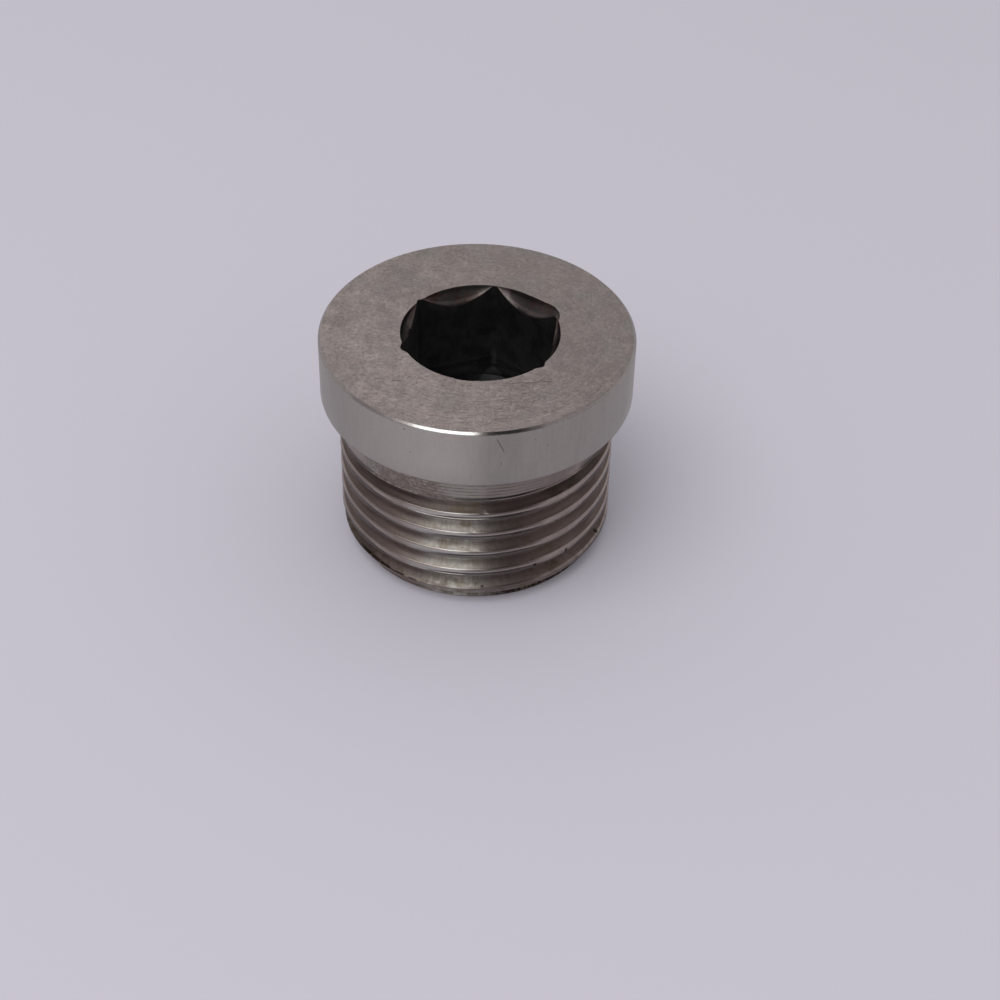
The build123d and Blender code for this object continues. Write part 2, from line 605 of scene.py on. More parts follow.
def skin_mesh(name, sizes):
    """The skin as a mesh in metres. Corners that repeat within a face are dropped, so faces
    become triangles or vanish where rows lie together, and unused points are left out."""
    points, share, corners, finish = plug_skin(sizes)
    differs = corners != np.roll(corners, 1, axis=1)
    count = differs.sum(axis=1)
    good = count >= 3
    used, loops = np.unique(corners[good][differs[good]], return_inverse=True)
    totals = count[good]
    starts = np.concatenate([[0], np.cumsum(totals)[:-1]])

    mesh = bpy.data.meshes.new(name)
    mesh.vertices.add(used.size)
    mesh.vertices.foreach_set("co", (points[used] * MM).ravel())
    mesh.loops.add(loops.size)
    mesh.loops.foreach_set("vertex_index", loops.ravel().astype(np.int32))
    mesh.polygons.add(totals.size)
    mesh.polygons.foreach_set("loop_start", starts.astype(np.int32))
    mesh.polygons.foreach_set("material_index", finish[good].astype(np.int32))
    mesh.polygons.foreach_set("use_smooth", np.ones(totals.size, dtype=bool))
    mesh.update(calc_edges=True)
    if mesh.validate():
        raise RuntimeError("the plug's skin has faces that Blender had to mend")
    mesh.set_sharp_from_angle(angle=SHARP)
    down = mesh.attributes.new("down_mouth", "FLOAT", "POINT")
    down.data.foreach_set("value", share[used].astype(np.float32))
    return mesh


# ---------------------------------------------------------------- shader building blocks


class Field:
    """An output of a node: a number, a colour or a direction that changes over the surface.
    Sums that are written with fields place Math nodes."""

    def __init__(self, node, output=0):
        self.tree, self.socket = node.id_data, node.outputs[output]

    def math(self, operation, *others):
        """The sum that a Math node makes of this field and the others."""
        return result(self.tree, "Math", enumerate((self, *others)), operation=operation)

    def __add__(self, other):
        return self.math("ADD", other)

    def __sub__(self, other):
        return self.math("SUBTRACT", other)

    def __rsub__(self, number):
        return result(self.tree, "Math", {0: number, 1: self}, operation="SUBTRACT")

    def __mul__(self, other):
        return self.math("MULTIPLY", other)

    def __truediv__(self, other):
        return self.math("DIVIDE", other)


def fill(socket, value):
    """Links a field to an input, or writes anything else as its value."""
    if isinstance(value, Field):
        socket.id_data.links.new(value.socket, socket)
    elif socket.type == "RGBA":
        socket.default_value = (*value, 1.0)
    else:
        socket.default_value = value


def place(tree, kind, inputs=(), **settings):
    """Adds a shader node to a tree and fills its inputs, given by name or number."""
    node = tree.nodes.new("ShaderNode" + kind)
    for name, value in settings.items():
        setattr(node, name, value)
    for key, value in dict(inputs).items():
        fill(node.inputs[key], value)
    return node


def result(tree, kind, inputs=(), output=0, **settings):
    """The field that a new node puts out."""
    return Field(place(tree, kind, inputs, **settings), output)


def highest(*fields):
    """The highest of several fields."""
    return functools.reduce(lambda one, other: one.math("MAXIMUM", other), fields)


def ramp(value, low, high, to_low=0.0, to_high=1.0):
    """A smooth change from to_low to to_high while the value goes from low to high."""
    inputs = enumerate((value, low, high, to_low, to_high))
    return result(value.tree, "MapRange", inputs, interpolation_type="SMOOTHSTEP")


def fall(value, low, high):
    """Full below low, nothing above high, and a smooth fall between them."""
    return ramp(value, low, high, 1.0, 0.0)


def band(value, low, high, soft):
    """Full between two values, and fading out over a soft edge inside them."""
    return ramp(value, low, low + soft) * fall(value, high - soft, high)


def vectors(operation, first, second=(0.0, 0.0, 0.0)):
    """A sum with directions, or the number that it gives."""
    inputs = {0: first, "Scale" if operation == "SCALE" else 1: second}
    output = "Value" if operation in ("DOT_PRODUCT", "DISTANCE", "LENGTH") else 0
    return result(first.tree, "VectorMath", inputs, output, operation=operation)


def joined(**parts):
    """A direction from its X, Y and Z. Those that aren't given are 0."""
    tree = next(iter(parts.values())).tree
    return result(tree, "CombineXYZ", parts)


def parted(direction):
    """The X, Y and Z of a direction."""
    node = place(direction.tree, "SeparateXYZ", {0: direction})
    return [Field(node, axis) for axis in "XYZ"]


def turned(direction, angle):
    """A direction turned round the Z axis."""
    inputs = {"Vector": direction, "Angle": angle}
    return result(direction.tree, "VectorRotate", inputs, rotation_type="Z_AXIS")


def noise(point, layer, scale, detail=2.0, roughness=0.5):
    """Noise from 0 to 1 in space. Another layer gives another noise."""
    inputs = enumerate((point, layer, scale, detail, roughness))
    return result(point.tree, "TexNoise", inputs, noise_dimensions="4D")


# The colour inputs and the colour output of a Mix node, by number.
COLOUR_A, COLOUR_B, COLOUR_OUT = 6, 7, 2


def blend(share, low, high):
    """One colour blended into another by a share."""
    inputs = {"Factor": share, COLOUR_A: low, COLOUR_B: high}
    return result(share.tree, "Mix", inputs, COLOUR_OUT, data_type="RGBA")


def shade(colour, factor):
    """A colour made darker or lighter."""
    return tuple(min(1.0, channel * factor) for channel in colour)


def tint(colour, *factors):
    """A colour with each channel multiplied by its own factor."""
    return tuple(channel * factor for channel, factor in zip(colour, factors))


def tone(base, value):
    """A colour that is given as it is, or by a number for a shade of the base colour."""
    return value if isinstance(value, tuple) else shade(base, value)


def coated(colour, base, *coats):
    """A colour under thin coats, each given by its mask, its share and its tone."""
    for mask, share, value in coats:
        colour = blend(mask * share, colour, tone(base, value))
    return colour


def painted(base, ground, *coats):
    """A ground, given by a mask and the tones where it is empty and full, under thin coats."""
    mask, low, high = ground
    return coated(blend(mask, tone(base, low), tone(base, high)), base, *coats)


# ---------------------------------------------------------------- effects that materials share

# The sockets that hold a place or a direction. Any other socket holds a number.
VECTORS = ("Vector", "Point", "Direction", "Centre")


def effect(name, inputs, outputs):
    """Makes a function of fields a shader node group with these inputs and outputs.

    The group is built once, when a material first places it. A call places it beside its
    first value, fills its inputs in order, and gives its output, or a list of its outputs."""

    def group_of(build):
        group = bpy.data.node_groups.new(name, "ShaderNodeTree")
        for in_out, labels in (("INPUT", inputs), ("OUTPUT", outputs)):
            for label in labels:
                kind = "NodeSocketVector" if label in VECTORS else "NodeSocketFloat"
                group.interface.new_socket(label, in_out=in_out, socket_type=kind)
        given = group.nodes.new("NodeGroupInput")
        made = build(*(Field(given, label) for label in inputs))
        out = group.nodes.new("NodeGroupOutput")
        for socket, field in zip(out.inputs, made if isinstance(made, tuple) else (made,)):
            fill(socket, field)
        return group

    def wrap(build):
        @functools.wraps(build)
        def placed(*values):
            group = bpy.data.node_groups.get(name) or group_of(build)
            node = place(values[0].tree, "Group", enumerate(values), node_tree=group)
            fields = [Field(node, label) for label in outputs]
            return fields if len(fields) > 1 else fields[0]

        return placed

    return wrap


@effect("Round Place", ("Vector",), ("Point", "Radius", "Height", "Direction"))
def round_place(vector):
    """Where a point is on a turned part: its place, its distance from the axis and its height,
    all in millimetres, and the level direction from the axis to it."""
    point = vectors("SCALE", vector, 1 / MM)
    x, y, height = parted(point)
    level = joined(X=x, Y=y)
    return point, vectors("LENGTH", level), height, vectors("NORMALIZE", level)


@effect("Turning Lines", ("Across", "Direction", "Lines per mm", "Waver", "Layer"), ("Lines",))
def turning_lines(across, direction, fineness, waver, layer):
    """Fine lines that a tool leaves round a turned part: noise that changes fast across the
    lines and slowly along them."""
    rise = joined(Z=across * fineness)
    spot = vectors("ADD", vectors("SCALE", direction, waver), rise)
    return noise(spot, layer, 1.0, 3.0, 0.6)


@effect("Cloud", ("Vector", "Patches per mm", "Low", "High", "Layer"), ("Mask",))
def cloud_patches(vector, fineness, low, high, layer):
    """Soft uneven patches, from 0 to 1."""
    return ramp(noise(vector, layer, fineness, 4.0, 0.6), low, high)


# How far a scratch reaches from the middle line of its noise.
SCRATCH_THINNESS = 0.02


@effect(
    "Hair Scratches",
    ("Vector", "Turn", "Scratches per mm", "Length", "Amount", "Layer"),
    ("Mask",),
)
def hair_scratches(vector, turn, fineness, length, amount, layer):
    """Thin scratches that run roughly one way: the middle line of noise that is drawn out
    along the scratches, kept only in patches."""
    x, y, z = parted(turned(vector, turn))
    drawn = joined(X=x / length, Y=y, Z=z)
    off = (noise(drawn, layer, fineness, 1.0) - 0.5).math("ABSOLUTE")
    most = 1.0 - amount
    kept = ramp(noise(drawn, layer + 9.0, 1.3), most, most + 0.08)
    return fall(off, 0.0, SCRATCH_THINNESS) * kept


@effect("Specks", ("Vector", "Specks per mm", "Share"), ("Mask",))
def specks(vector, fineness, share):
    """Small round specks of uneven size, scattered at random."""
    cell = place(vector.tree, "TexVoronoi", {"Vector": vector, "Scale": fineness})
    pick = place(vector.tree, "SeparateColor", {0: Field(cell, "Color")})
    body = Field(pick, 1) * 0.16 - Field(cell, "Distance")
    shown = Field(pick, 0).math("LESS_THAN", share)
    return ramp(body, 0.0, 0.05) * shown


@effect(
    "Groove Place",
    ("Direction", "Height"),
    ("Above Groove", "Above Thread", "Run Out", "Turn"),
)
def groove_place(direction, height):
    """Where a point is across the thread: millimetres above the middle of the groove below it,
    how far it is above the highest groove's upper edge, how far round the side that groove has
    run out, and the number of the turn."""
    x, y, _ = parted(direction)
    angle = y.math("ARCTAN2", x)
    start = RUN_OUT_Z - PITCH * (RUN_OUT_START + TURNS * math.tau) / math.tau
    above = height - angle * (PITCH / math.tau) - start
    turns = above / PITCH
    whole = turns.math("FLOOR")
    over = above - (TURNS * PITCH + GROOVE_EDGE)
    fading, faded = (RUN_OUT_START + share * RUN_OUT_SWEEP for share in (0.3, 0.85))
    return (turns - whole) * PITCH, over, ramp(angle, fading, faded), whole


@effect("Streak", ("Vector", "Centre", "Direction", "Length", "Width"), ("Mask",))
def streak(vector, centre, direction, length, width):
    """One straight mark: full along a line of this length through the centre, and fading
    out over its width."""
    away = vectors("SUBTRACT", vector, centre)
    along = vectors("DOT_PRODUCT", away, direction)
    off = vectors("DISTANCE", away, vectors("SCALE", direction, along))
    side = fall(off / width, 0.35, 1.0)
    return side * fall(along.math("ABSOLUTE") / length, 0.3, 0.5)


# The outputs of the two effects that tell where a point is.
Spot = namedtuple("Spot", "point radius height direction")
Groove = namedtuple("Groove", "above over run_out turn")


def lines(spot, across, fineness, waver, layer=0.0):
    """Turning Lines at this many a millimetre."""
    return turning_lines(across, spot.direction, fineness, waver, layer)


def cloud(spot, fineness, low, high, layer=0.0):
    """Cloud with this many patches a millimetre."""
    return cloud_patches(spot.point, fineness, low, high, layer)


def hairs(spot, turn, fineness, length, amount, layer):
    """Hair Scratches that run at this angle."""
    return hair_scratches(spot.point, math.radians(turn), fineness, length, amount, layer)


def marks(spot, table):
    """Straight marks, each given by its middle, its direction, its length and its width."""
    ways = (Vector(direction).normalized() for _, direction, _, _ in table)
    rows = ((row[0], way, *row[2:]) for row, way in zip(table, ways))
    return highest(*(streak(spot.point, *row) for row in rows))


def towards(spot, degrees, low, high):
    """Full on the side of the plug that faces this way, and nothing beyond the outer angle."""
    way = Vector((math.cos(math.radians(degrees)), math.sin(math.radians(degrees)), 0.0))
    lean = vectors("DOT_PRODUCT", spot.direction, way)
    return ramp(lean, math.cos(math.radians(low)), math.cos(math.radians(high)))


def over_thread(groove, mask):
    """A mask made from the height above the highest groove. As that groove runs out, the mask
    fades into the same one made from the height above the groove a turn below."""
    high, low = mask(groove.over), mask(groove.over + PITCH)
    return high + (low - high) * groove.run_out


def metal(name, grain, paint, finish):
    """A new material: a Principled metal with the colour, the roughness, the relief and the
    relief's depth in millimetres that a function gives.

    Grain is how strongly the lines round the axis spread the gloss across themselves."""
    material = bpy.data.materials.new(name)
    material.use_nodes = True
    tree = material.node_tree
    tree.nodes.clear()
    round_axis = result(tree, "Tangent", direction_type="RADIAL", axis="Z")
    where = result(tree, "TexCoord", output="Object")
    colour, roughness, relief, depth = paint(Spot(*round_place(where)), finish)
    bump = {"Height": relief, "Strength": 1.0, "Distance": depth * MM}
    inputs = {
        "Base Color": colour,
        "Metallic": 1.0,
        "Roughness": roughness,
        "Anisotropic": grain,
        "Anisotropic Rotation": 0.25,
        "Tangent": round_axis,
        "Normal": result(tree, "Bump", bump),
    }
    place(tree, "OutputMaterial", {0: result(tree, "BsdfPrincipled", inputs)})
    return material


# ---------------------------------------------------------------- finishes

# Marks: middle, direction, length and width, in millimetres.
HEAD_MARKS = (
    ((-4.36, -6.77, 17.5), (0.96, 0.281, 0.0), 0.95, 0.075),
    ((4.48, -5.07, 17.5), (0.955, 0.296, 0.0), 4.6, 0.045),
    ((4.90, -5.02, 17.5), (0.952, 0.306, 0.0), 1.2, 0.06),
    ((3.90, -7.38, 17.5), (0.981, 0.196, 0.0), 1.2, 0.04),
    ((1.90, -7.78, 17.5), (0.981, 0.196, 0.0), 1.0, 0.04),
    ((0.51, -8.16, 17.5), (0.981, 0.196, 0.0), 0.8, 0.05),
    ((-5.52, -6.81, 17.5), (0.981, 0.196, 0.0), 1.0, 0.04),
    ((5.46, -6.91, 17.5), (0.83, 0.558, 0.0), 1.0, 0.04),
)
COLLAR_MARKS = (
    ((3.88, -10.82, 16.32), (0.44, 0.16, -1.08), 1.5, 0.06),
    ((-2.81, -11.15, 16.89), (1.0, 0.2, 0.0), 0.16, 0.09),
    ((-2.39, -11.24, 14.99), (1.0, 0.2, 0.0), 0.12, 0.07),
    ((3.95, -10.80, 14.7), (0.1, 0.0, -1.0), 0.35, 0.035),
    ((6.9, -9.2, 15.6), (0.3, 0.3, 0.9), 0.3, 0.035),
    ((6.1, -9.74, 16.4), (0.5, 0.3, -0.8), 0.3, 0.035),
)
DIRT_MARKS = (
    ((-3.84, -9.40, 1.50), (0.93, -0.36, 0.0), 1.1, 0.15),
    ((-2.75, -9.80, 1.50), (0.96, -0.27, 0.0), 0.9, 0.13),
    ((9.74, -2.31, 2.10), (0.3, -0.1, -0.25), 0.45, 0.22),
    ((8.11, -6.18, 3.34), (0.6, 0.8, 0.0), 0.3, 0.24),
    ((8.34, -5.70, 2.33), (0.2, 0.3, -1.0), 0.5, 0.11),
    ((6.14, -8.14, 3.22), (0.8, 0.6, 0.0), 0.28, 0.22),
    ((2.51, -9.72, 1.77), (0.98, 0.2, 0.0), 0.25, 0.12),
)

# Colours of what the steel has picked up, and of painted shade, shadow and light.
DIRT_AND_SHADOW = (0.018, 0.011, 0.008)
RUST = (0.12, 0.085, 0.045)
OLD_RUST = (0.13, 0.075, 0.04)
BROWN_STAIN = (0.15, 0.115, 0.065)
PALE_STAIN = (0.17, 0.125, 0.10)
SCRATCH_DIRT = (0.09, 0.06, 0.045)
RED_STAIN = (0.075, 0.028, 0.022)
GREEN_SHADE = (0.034, 0.036, 0.029)
DEEP_GREEN_SHADE = (0.03, 0.031, 0.025)
LEDGE_GREY = (0.024, 0.024, 0.024)
CONE_GREY = (0.007, 0.007, 0.007)
WEDGE_GREY = (0.016, 0.016, 0.018)


def paint_head(spot, finish):
    """The faced head: fine rings round the axis, brownish cloudy patches, a grain of short
    scratches that cross each other, and a few long ones. One side is painted lighter, as light
    falls across the head, and the rings and scratches show most on the side towards the highlight."""
    steel = finish.steel
    facing = towards(spot, HIGHLIGHT_SIDE, 75, 20)
    rings = lines(spot, spot.radius, 6.5, 3.0)
    dark_rings = lines(spot, spot.radius, 5.0, 3.0, 7.0)
    grain = cloud(spot, 4.0, 0.3, 0.7, 3.0)
    blotch = cloud(spot, 1.1, 0.3, 0.7, 4.0)
    ring_share = facing * 0.16 + 0.08
    dark_turns = ((20, 1.0), (75, 2.0), (130, 3.0), (165, 5.0))
    light_turns = ((100, 8.0), (10, 9.0))
    strokes = highest(*(hairs(spot, turn, 3.6, 5.0, 0.58, layer) for turn, layer in dark_turns))
    light = highest(*(hairs(spot, turn, 3.0, 5.0, 0.55, layer) for turn, layer in light_turns))
    stroke_share = facing * 0.2 + 0.38
    dark_level, light_level = (hairs(spot, -11, 6.0, 10.0, 0.62, layer) for layer in (21.0, 22.0))
    deep = marks(spot, HEAD_MARKS)
    across = vectors("DOT_PRODUCT", spot.point, PAINTED_LIGHT_WAY)
    colour = painted(
        steel,
        # Ground: painted light, lighter across the head towards one side.
        (ramp(across, -9.0, 9.0), 1.12, 1.62),
        (cloud(spot, 0.35, 0.3, 0.7), 0.42, 0.75),
        (blotch, 0.5, 0.6),
        (cloud(spot, 0.45, 0.42, 0.66, 15.0), 0.46, tint(steel, 0.8, 0.98, 0.94)),
        (grain, 0.58, 0.56),
        (ramp(rings, 0.42, 0.62), ring_share, 1.75),
        (ramp(dark_rings, 0.56, 0.68), ring_share, 0.45),
        (strokes, stroke_share, 0.45),
        (light, stroke_share * 0.55, 1.7),
        (dark_level, facing * 0.55, 0.45),
        (light_level, facing * 0.4, 1.75),
        (deep, 0.62, 0.28),
    )
    rough = ramp(rings, 0.2, 0.8, 0.40, 0.48) + blotch * 0.05
    return colour, rough, rings * 0.8 - strokes + grain * 0.7 - deep * 2.0, 0.004


def paint_collar(spot, finish):
    """The turned collar: rings so fine that they only spread the gloss, with faint upright
    smears, a few specks and scratches, a painted highlight with a painted dark reflection beside
    it, and a glossy cut along the upper edge that carries a painted highlight, with a painted dark
    reflection to its right and painted shade to its left."""
    steel = tint(finish.steel, 1.01, 1.09, 1.07)
    rings = lines(spot, spot.height, 12.0, 3.0)
    smear = lines(spot, spot.height, 0.25, 9.0, 2.0)
    upright = lines(spot, spot.height, 0.5, 45.0, 5.0)
    grain = cloud(spot, 5.0, 0.3, 0.7, 3.0)
    pits = towards(spot, HIGHLIGHT_SIDE + 45, 40, 25) * 0.4 + 0.16
    fine_pits, coarse_pits = (
        specks(spot.point, fineness, share) for fineness, share in ((1.1, 0.08), (2.6, 0.12))
    )
    scratch = marks(spot, COLLAR_MARKS)
    torn = (lines(spot, spot.height, 2.0, 70.0, 6.0) - 0.5) * 0.16
    cut = ramp(spot.height + torn, CUT_LOW, CUT_HIGH)
    glint = cut * towards(spot, CAMERA_SIDE - 11, 13, 8)
    colour = painted(
        steel,
        (ramp(smear, 0.35, 0.65), 0.95, 1.05),
        # Painted highlight where the lamp's smear falls on the side.
        (towards(spot, HIGHLIGHT_SIDE - 22, 30, 8), 0.6, 1.22),
        # Painted dark reflection beside it.
        (towards(spot, HIGHLIGHT_SIDE + 12, 9, 3), 0.6, 0.84),
        (ramp(upright, 0.42, 0.62), 0.14, 1.35),
        (grain, 0.16, 0.7),
        (ramp(rings, 0.4, 0.7), 0.1, 1.3),
        (fine_pits, pits, 0.3),
        (coarse_pits, pits, 0.3),
        (scratch, 0.6, SCRATCH_DIRT),
        (fall(spot.height, SEAT_Z + 0.02, SEAT_Z + 0.1), 0.5, 0.4),
        # On the cut: a painted highlight, a painted dark reflection to its right and painted shade
        # to its left.
        (glint, 1.0, tint(steel, 1.32, 1.45, 1.52)),
        (cut * towards(spot, CAMERA_SIDE + 12, 14, 9), 0.75, 0.35),
        (cut * towards(spot, CAMERA_SIDE - 36, 15, 11), 0.5, 0.6),
        (cut * grain, 0.25, 0.5),
    )
    turned_gloss, cut_gloss = ramp(smear, 0.3, 0.7, 0.42, 0.46), ramp(grain, 0.0, 1.0, 0.18, 0.26)
    rough = turned_gloss * (1.0 - cut) + cut_gloss * cut
    return colour, rough, rings - scratch * 4.0, 0.0015


def flank_colour(spot, groove, streaks, chatter, flank):
    """The thread's flanks: stained dark, with painted shade round the sides and under the collar,
    and a painted shadow under the collar on the right. The side towards the highlight has a
    neutral tone and a painted highlight, with upright tool marks across it and rusty patches
    beside it. Right of the camera a band is painted back to the plain flank colour."""
    front = towards(spot, HIGHLIGHT_SIDE, 34, 14)
    collar_shade = over_thread(groove, lambda over: ramp(over, -1.35, -1.2))
    shadowed = collar_shade * towards(spot, CAMERA_SIDE + 52, 32, 14)
    brown = cloud(spot, 0.75, 0.5, 0.64, 11.0) * towards(spot, CAMERA_SIDE + 14, 44, 20)
    return painted(
        flank,
        # Neutral tone and painted highlight on the side towards the highlight.
        (front, 1.0, tint(flank, 0.98, 1.13, 1.16)),
        (towards(spot, HIGHLIGHT_SIDE - 7, 17, 5), 1.0, tint(flank, 1.95, 2.4, 2.45)),
        # Painted shade round the sides, then under the collar, and a painted shadow under it on
        # the right.
        (1.0 - towards(spot, CAMERA_SIDE, 56, 42), 0.8, 0.5),
        (collar_shade, 0.75, 0.42),
        (shadowed, 0.7, tint(flank, 0.15, 0.17, 0.165)),
        (cloud(spot, 0.5, 0.35, 0.65, 2.0), 0.3, 0.75),
        (ramp(streaks, 0.35, 0.7), 0.25, 1.6),
        (ramp(chatter, 0.45, 0.62) * front, 0.35, 0.6),
        (cloud(spot, 3.2, 0.5, 0.7, 7.0), 0.35, 0.5),
        (brown, 0.5, BROWN_STAIN),
        # Painted light: right of the camera a band goes back to the plain flank colour.
        (towards(spot, CAMERA_SIDE + 21, 13, 6), 0.4, 1.0),
    )


def crest_colour(spot, down, streaks, bright):
    """The thread's crests, by how far down a crest a point lies: a painted highlight on the side
    towards the highlight, a darker lower half with painted shade in its hollow, and a ragged,
    darker lower edge. The bright band is painted wider or narrower by the angle to the camera,
    painted shade dims the rounding beside the camera, and the crests are darker near the bottom."""
    wobble = (lines(spot, spot.height, 0.8, 28.0, 4.0) - 0.5) * 0.08
    ragged = down + wobble
    painted_highlight = towards(spot, HIGHLIGHT_SIDE - 7, 22, 9)
    # Angles to the camera where the bright band is painted wider and its hollow lighter, and far
    # to the left, where it is painted narrower and darker: painted light and shade.
    wide = highest(*(towards(spot, CAMERA_SIDE + side, 20, 4) for side in (-29, 38)))
    narrow = towards(spot, CAMERA_SIDE - 60, 16, 6)
    edge = ragged + (narrow * 0.1 - wide * 0.2)
    lower = painted_highlight * -0.16 + 0.85
    valley = band(ragged, 0.25, 0.42, 0.04) * (1.0 - wide * 0.75)
    shaded = band(down, -0.16, 0.15, 0.05) * towards(spot, CAMERA_SIDE + 12, 20, 10)
    left_rounding_shade = band(down, -0.16, 0.06, 0.04) * towards(spot, CAMERA_SIDE - 30, 20, 12)
    return painted(
        bright,
        (ramp(streaks, 0.35, 0.65), 0.9, 1.1),
        # Painted highlight on the side towards the highlight, silver on the rounding.
        (painted_highlight, 1.0, tint(bright, 0.95, 1.1, 1.15)),
        (painted_highlight * ramp(down, -0.01, 0.06), 1.0, tint(bright, 1.4, 1.6, 1.65)),
        (lower * ramp(edge, 0.19, 0.25), 1.0, 0.2),
        # Painted shade in the hollow.
        (valley, 0.72, 0.1),
        (lower * ramp(ragged, 0.53, 0.56), 0.9, 0.1),
        # Painted shade on the rounding right and left of the camera, and on the far left.
        (shaded, 0.85, 0.36),
        (left_rounding_shade, 0.7, 0.6),
        (narrow, 0.35, 0.5),
        (fall(spot.height, 1.6, 2.0), 0.5, 0.35),
        (cloud(spot, 3.2, 0.5, 0.7, 7.0), 0.3, 0.5),
    )


def shank_colour(spot, groove, bright, flank):
    """The plain shank above the thread: painted shade in the tool rings, strongest on the side
    towards the highlight, a scuffed and stained side, a painted highlight tone in front with
    painted shade right of the camera, a painted shadow line over the thread in front, and
    painted shade round the sides."""
    feeds = (spot.height - RING_START) / RING_FEED
    off = (feeds - feeds.math("ROUND")).math("ABSOLUTE")
    # Painted shade in the tool rings, strongest on the side towards the highlight.
    ring = fall(off, 0.10, 0.30) * ramp(lines(spot, spot.height, 1.5, 9.0, 8.0), 0.3, 0.6)
    ring_share = (towards(spot, HIGHLIGHT_SIDE, 38, 12) * 0.6 + 0.4) * 0.65
    scuffed = towards(spot, CAMERA_SIDE - 32, 24, 15)
    ripple = ramp(lines(spot, spot.height, 4.5, 42.0, 9.0), 0.46, 0.58) * scuffed
    # A painted shadow line over the thread in front, and painted shade round the sides.
    line = band(groove.over, 0.10, 0.33, 0.04) * towards(spot, CAMERA_SIDE + 6, 28, 4)
    right_side_shade = fall(groove.over, 0.3, 1.0) * towards(spot, CAMERA_SIDE + 60, 16, 8)
    left_side_shade = fall(groove.over, 0.12, 0.6) * towards(spot, CAMERA_SIDE - 62, 18, 8)
    patch = cloud(spot, 0.4, 0.35, 0.65, 2.0)
    return painted(
        bright,
        (patch, 0.75, 0.95),
        (cloud(spot, 3.2, 0.5, 0.7, 7.0), 0.45, 0.4),
        # Painted highlight tone in front, and painted shade right of the camera.
        (towards(spot, HIGHLIGHT_SIDE - 12, 46, 22), 0.7, tint(bright, 1.0, 1.16, 1.12)),
        (towards(spot, CAMERA_SIDE + 22, 24, 14), 0.55, 0.5),
        (ring, ring_share, 0.3),
        (ripple, 0.65, shade(flank, 0.65)),
        (cloud(spot, 0.9, 0.42, 0.6, 12.0) * scuffed, 0.5, PALE_STAIN),
        (line, 0.92, 0.08),
        (highest(right_side_shade, left_side_shade), 0.8, 0.15),
    )


def thread_dirt_and_shadow(spot, groove, down):
    """Where dirt sticks to the thread, along one crest on the left and in a few spots, and a
    ragged dark strip along the bottom on the right that is partly crumbs of dirt and partly a
    painted contact shadow."""
    grit = cloud(spot, 3.5, 0.30, 0.46, 6.0)
    spots = marks(spot, DIRT_MARKS) * ramp(grit, 0.0, 1.0, 0.7, 1.0)
    drifted = down + towards(spot, CAMERA_SIDE - 62, 44, 4) * 0.32
    line = band(drifted, 0.15, 0.32, 0.05) * towards(spot, CAMERA_SIDE - 40, 24, 13)
    line = line * groove.turn.math("COMPARE", 2.0, 0.1)
    crumbs, bits = cloud(spot, 2.2, 0.2, 0.8, 14.0), cloud(spot, 5.0, 0.42, 0.6, 16.0)
    level = spot.height + crumbs * 0.6 + bits * 0.25
    # A ragged strip along the bottom on the right: partly crumbs of dirt, partly a painted contact
    # shadow.
    strip = fall(level, 0.86, 0.98) * towards(spot, CAMERA_SIDE + 40, 34, 24)
    return highest(highest(line, strip * (1.0 - bits * 0.6)) * grit, spots)


def paint_thread(spot, finish):
    """The thread and the plain shank above it: worn crests, stained flanks, rust and dirt low
    down, painted highlights and shade, painted shade under the shank's edge and a painted
    contact shadow at the bottom."""
    flank, bright = finish.flank, finish.crest
    groove = Groove(*groove_place(spot.direction, spot.height))
    down = PITCH - GROOVE_EDGE - groove.above
    streaks = lines(spot, spot.radius, 9.0, 5.0, groove.turn * 1.7)
    chatter = lines(spot, spot.radius, 1.2, 65.0, 3.0)
    crest = ramp(spot.radius, CREST_RADIUS - 0.115, CREST_RADIUS - 0.085)
    shank = over_thread(groove, lambda over: ramp(over, -0.02, 0.02))
    lip = over_thread(groove, lambda over: band(over, -0.20, 0.03, 0.05))
    low_down = fall(spot.height, 1.6, 3.4)
    rust = cloud(spot, 1.6, 0.42, 0.74) * low_down
    colour = flank_colour(spot, groove, streaks, chatter, flank)
    colour = blend(crest, colour, crest_colour(spot, down, streaks, bright))
    colour = coated(
        blend(shank, colour, shank_colour(spot, groove, bright, flank)),
        flank,
        # Painted shade under the shank's edge.
        (lip, 0.7, 0.2),
        (rust, 0.55, RUST),
        (thread_dirt_and_shadow(spot, groove, down), 0.9, DIRT_AND_SHADOW),
    )
    rough = ramp(crest, 0.0, 1.0, 0.40, 0.26) + low_down * 0.12 + rust * 0.2
    return colour, rough, streaks + chatter * 0.7, 0.004


